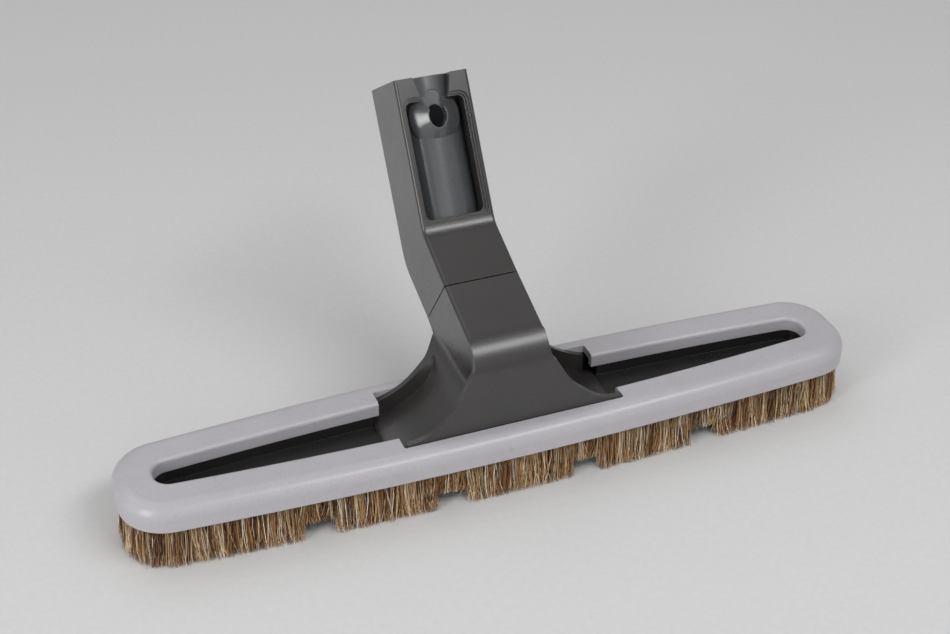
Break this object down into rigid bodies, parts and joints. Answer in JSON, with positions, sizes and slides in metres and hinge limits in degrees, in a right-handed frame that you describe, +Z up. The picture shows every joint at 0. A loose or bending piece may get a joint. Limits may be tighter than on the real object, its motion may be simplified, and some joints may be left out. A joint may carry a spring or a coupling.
{
  "type": "vacuum cleaner hard floor brush head",
  "caption": "Long boat-shaped floor brush with a soft bumper, natural bristles, a flared neck and a swivelling angled wand connector.",
  "frame": {"origin": "on the floor under the middle of the head", "axes": "+X along the head, +Y towards the user who holds the wand, +Z up"},
  "size_m": [0.361, 0.1562, 0.1576],
  "materials": {
    "bumper": "satin soft-touch moulding",
    "carrier": "smooth black moulding",
    "neck": "fine textured anthracite moulding",
    "sleeve": "satin anthracite moulding",
    "strip": "plain",
    "bristle": "mixed natural horsehair",
    "seal": "matt",
    "screw": "zinc plated",
    "spring_steel": "plain"
  },
  "bodies": {
    "head": {"bumper_ring": "bumper", "carrier_frame": "carrier", "sole_plate": "carrier", "sole_screws": "screw", "neck_screws": "screw", "front_strip_back": "strip", "rear_strip_back": "strip", "front_bristles": "bristle", "rear_bristles": "bristle", "neck_shell": "neck", "swivel_washer": "seal", "swivel_seal": "seal"},
    "connector": {"connector_body": "neck", "swivel_spigot": "neck", "socket_sleeve": "sleeve", "snap_ring": "spring_steel"}
  },
  "joints": [
    {"name": "neck_swivel", "type": "hinge", "parent": "head", "child": "connector", "pos_m": [0, 0.03408, 0.06752], "axis": [0, 0.8181, 0.575], "range_deg": [-90, 90]}
  ]
}
